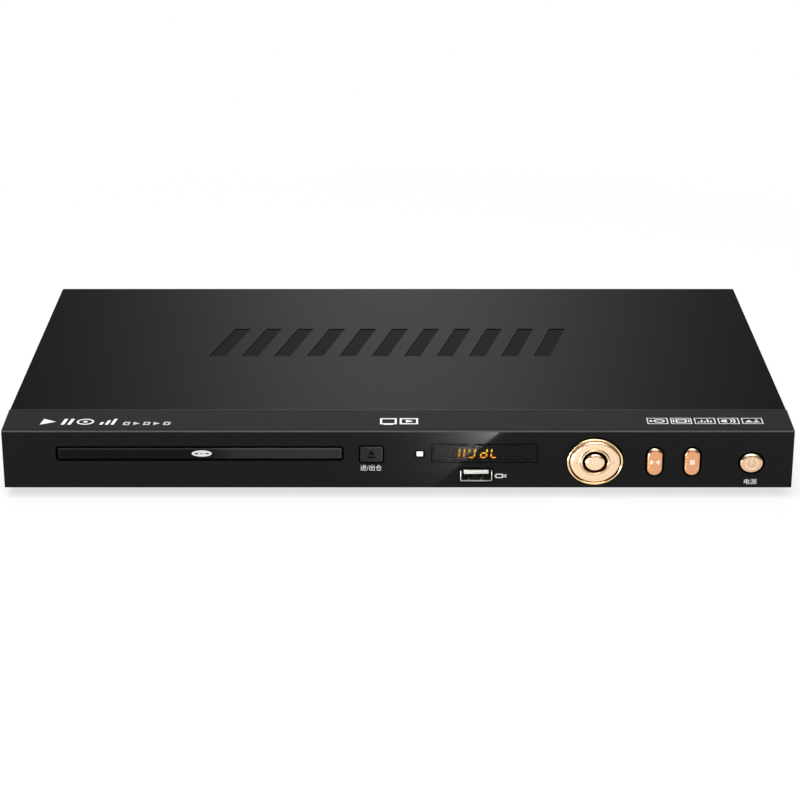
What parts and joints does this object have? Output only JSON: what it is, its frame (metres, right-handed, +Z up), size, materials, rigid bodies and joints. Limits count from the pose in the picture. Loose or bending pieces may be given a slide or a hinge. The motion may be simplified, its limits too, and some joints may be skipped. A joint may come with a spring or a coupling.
{
  "type": "dvd player",
  "caption": "Flat disc player with a motor-driven drawer, swinging deck with pickup, display window, gold-coloured keys and sockets front and back.",
  "frame": {"origin": "on the floor under the middle of the object's box", "axes": "+Z up, the front face looks along -Y, +X to the right as seen from the front"},
  "size_m": [0.36, 0.2118, 0.0338],
  "materials": {
    "gloss_black_plastic": "polished",
    "black_painted_steel": "satin",
    "smoked_acrylic": "polished",
    "white_light_pipe": "frosted",
    "nickel_plate": "bright",
    "socket_insulator_black": "moulded",
    "rose_gold_plating": "satin plated",
    "key_grey_plastic": "satin",
    "circuit_board_green": "solder mask",
    "component_black": "moulded",
    "display_segments": "glassy",
    "zinc_plated_steel": "satin",
    "soft_rubber": "matt",
    "loader_black_plastic": "moulded",
    "white_acetal": "moulded",
    "capacitor_sleeve": "shrunk sleeve",
    "black_anodised_aluminium": "anodised",
    "ferrite_core": "matt",
    "part_case_yellow": "moulded",
    "flat_cable_white": "film",
    "motor_steel": "satin",
    "belt_rubber": "matt",
    "polished_steel": "polished",
    "lens_glass": "coated",
    "jack_colours": "moulded"
  },
  "bodies": {
    "cabinet": {"front_fascia": "gloss_black_plastic", "drawer_surround": "gloss_black_plastic", "control_panel": "gloss_black_plastic", "display_window": "smoked_acrylic", "standby_light": "white_light_pipe", "usb_shell": "nickel_plate", "usb_tongue": "socket_insulator_black", "ring_bezel": "rose_gold_plating", "front_board": "circuit_board_green", "key_switches": "component_black", "display_module": "display_segments", "top_cover": "black_painted_steel", "chassis_base": "zinc_plated_steel", "board_pillars": "zinc_plated_steel", "rubber_feet": "soft_rubber", "rear_panel": "zinc_plated_steel", "main_board": "circuit_board_green", "power_board": "circuit_board_green", "jack_block": "socket_insulator_black", "jack_barrels": "nickel_plate", "jack_inserts": "jack_colours", "video_socket": "nickel_plate", "mains_inlet": "socket_insulator_black", "mains_pins": "nickel_plate", "board_chips": "component_black", "heatsink": "black_anodised_aluminium", "board_capacitors": "capacitor_sleeve", "transformer": "ferrite_core", "power_parts": "part_case_yellow", "ribbon_cable": "flat_cable_white", "loader_frame": "loader_black_plastic", "clamp_bridge": "zinc_plated_steel", "tray_motor": "motor_steel", "drive_belt": "belt_rubber", "gear_pins": "polished_steel", "loader_screws": "zinc_plated_steel", "board_screws": "zinc_plated_steel", "panel_screws": "zinc_plated_steel", "cover_screws": "zinc_plated_steel"},
    "drawer": {"disc_tray": "loader_black_plastic", "tray_door": "gloss_black_plastic"},
    "tray_gear": {"tray_gear": "white_acetal"},
    "belt_pulley": {"belt_pulley": "white_acetal"},
    "motor_pulley": {"motor_pulley": "white_acetal"},
    "deck": {"deck": "loader_black_plastic", "guide_rods": "polished_steel", "spindle_motor": "motor_steel", "sled_motor": "motor_steel"},
    "lift_cam": {"lift_cam": "white_acetal"},
    "turntable": {"turntable": "loader_black_plastic"},
    "clamper": {"clamper": "white_acetal", "clamper_plate": "zinc_plated_steel"},
    "pickup": {"pickup": "component_black", "pickup_lens": "lens_glass"},
    "lead_screw": {"lead_screw": "polished_steel"},
    "eject_button": {"eject_button": "key_grey_plastic"},
    "power_button": {"power_button": "rose_gold_plating"},
    "play_button": {"play_button": "rose_gold_plating"},
    "stop_button": {"stop_button": "rose_gold_plating"},
    "enter_button": {"enter_button": "rose_gold_plating"},
    "control_ring": {"control_ring": "rose_gold_plating"}
  },
  "joints": [
    {"name": "tray_slide", "type": "slide", "parent": "cabinet", "child": "drawer", "axis": [0, -1, 0], "range_m": [0, 0.13]},
    {"name": "tray_gear_turn", "type": "hinge", "parent": "cabinet", "child": "tray_gear", "pos_m": [-0.01955, -0.07305, 0.015], "axis": [0, 0, 1], "range_deg": [0, 931.2]},
    {"name": "belt_pulley_turn", "type": "hinge", "parent": "cabinet", "child": "belt_pulley", "pos_m": [-0.03695, -0.08116, 0.013], "axis": [0, 0, 1], "range_deg": [-2793.4, 0]},
    {"name": "motor_pulley_turn", "type": "hinge", "parent": "cabinet", "child": "motor_pulley", "pos_m": [-0.07625, -0.08205, 0.0167], "axis": [0, 0, 1], "range_deg": [-8243.6, 0]},
    {"name": "deck_swing", "type": "hinge", "parent": "cabinet", "child": "deck", "pos_m": [-0.09025, 0.05745, 0.014], "axis": [-1, 0, 0], "range_deg": [0, 4.1]},
    {"name": "cam_slide", "type": "slide", "parent": "cabinet", "child": "lift_cam", "axis": [-1, 0, 0], "range_m": [0, 0.01401]},
    {"name": "turntable_spin", "type": "hinge", "parent": "deck", "child": "turntable", "pos_m": [-0.09025, -0.03795, 0.01619], "axis": [0, -0.0715, 0.9974], "continuous": true},
    {"name": "clamper_spin", "type": "hinge", "parent": "cabinet", "child": "clamper", "pos_m": [-0.09025, -0.03755, 0.026], "axis": [0, 0, 1], "continuous": true},
    {"name": "pickup_slide", "type": "slide", "parent": "deck", "child": "pickup", "axis": [0, 0.9974, 0.0715], "range_m": [0, 0.033]},
    {"name": "lead_screw_turn", "type": "hinge", "parent": "deck", "child": "lead_screw", "pos_m": [-0.06325, 0.00552, 0.01118], "axis": [0, 0.9974, 0.0715], "range_deg": [-3960.2, 0]},
    {"name": "eject_press", "type": "slide", "parent": "cabinet", "child": "eject_button", "axis": [0, 1, 0], "range_m": [0, 0.0005], "stiffness_N_per_m": 300},
    {"name": "power_press", "type": "slide", "parent": "cabinet", "child": "power_button", "axis": [0, 1, 0], "range_m": [0, 0.0005], "stiffness_N_per_m": 300},
    {"name": "play_press", "type": "slide", "parent": "cabinet", "child": "play_button", "axis": [0, 1, 0], "range_m": [0, 0.0005], "stiffness_N_per_m": 300},
    {"name": "stop_press", "type": "slide", "parent": "cabinet", "child": "stop_button", "axis": [0, 1, 0], "range_m": [0, 0.0005], "stiffness_N_per_m": 300},
    {"name": "enter_press", "type": "slide", "parent": "cabinet", "child": "enter_button", "axis": [0, 1, 0], "range_m": [0, 0.0005], "stiffness_N_per_m": 300},
    {"name": "ring_rock", "type": "hinge", "parent": "cabinet", "child": "control_ring", "pos_m": [0.08975, -0.09995, 0.01785], "axis": [0, 0, 1], "range_deg": [-2, 2], "stiffness_Nm_per_rad": 0.3}
  ],
  "couplings": [
    {"joint": "tray_gear_turn", "follows": "tray_slide", "rad_per_m": 125},
    {"joint": "belt_pulley_turn", "follows": "tray_slide", "rad_per_m": -375},
    {"joint": "motor_pulley_turn", "follows": "tray_slide", "rad_per_m": -1106.7},
    {"joint": "cam_slide", "follows": "deck_swing", "m_per_rad": 0.19564},
    {"joint": "lead_screw_turn", "follows": "pickup_slide", "rad_per_m": -2094.4}
  ]
}
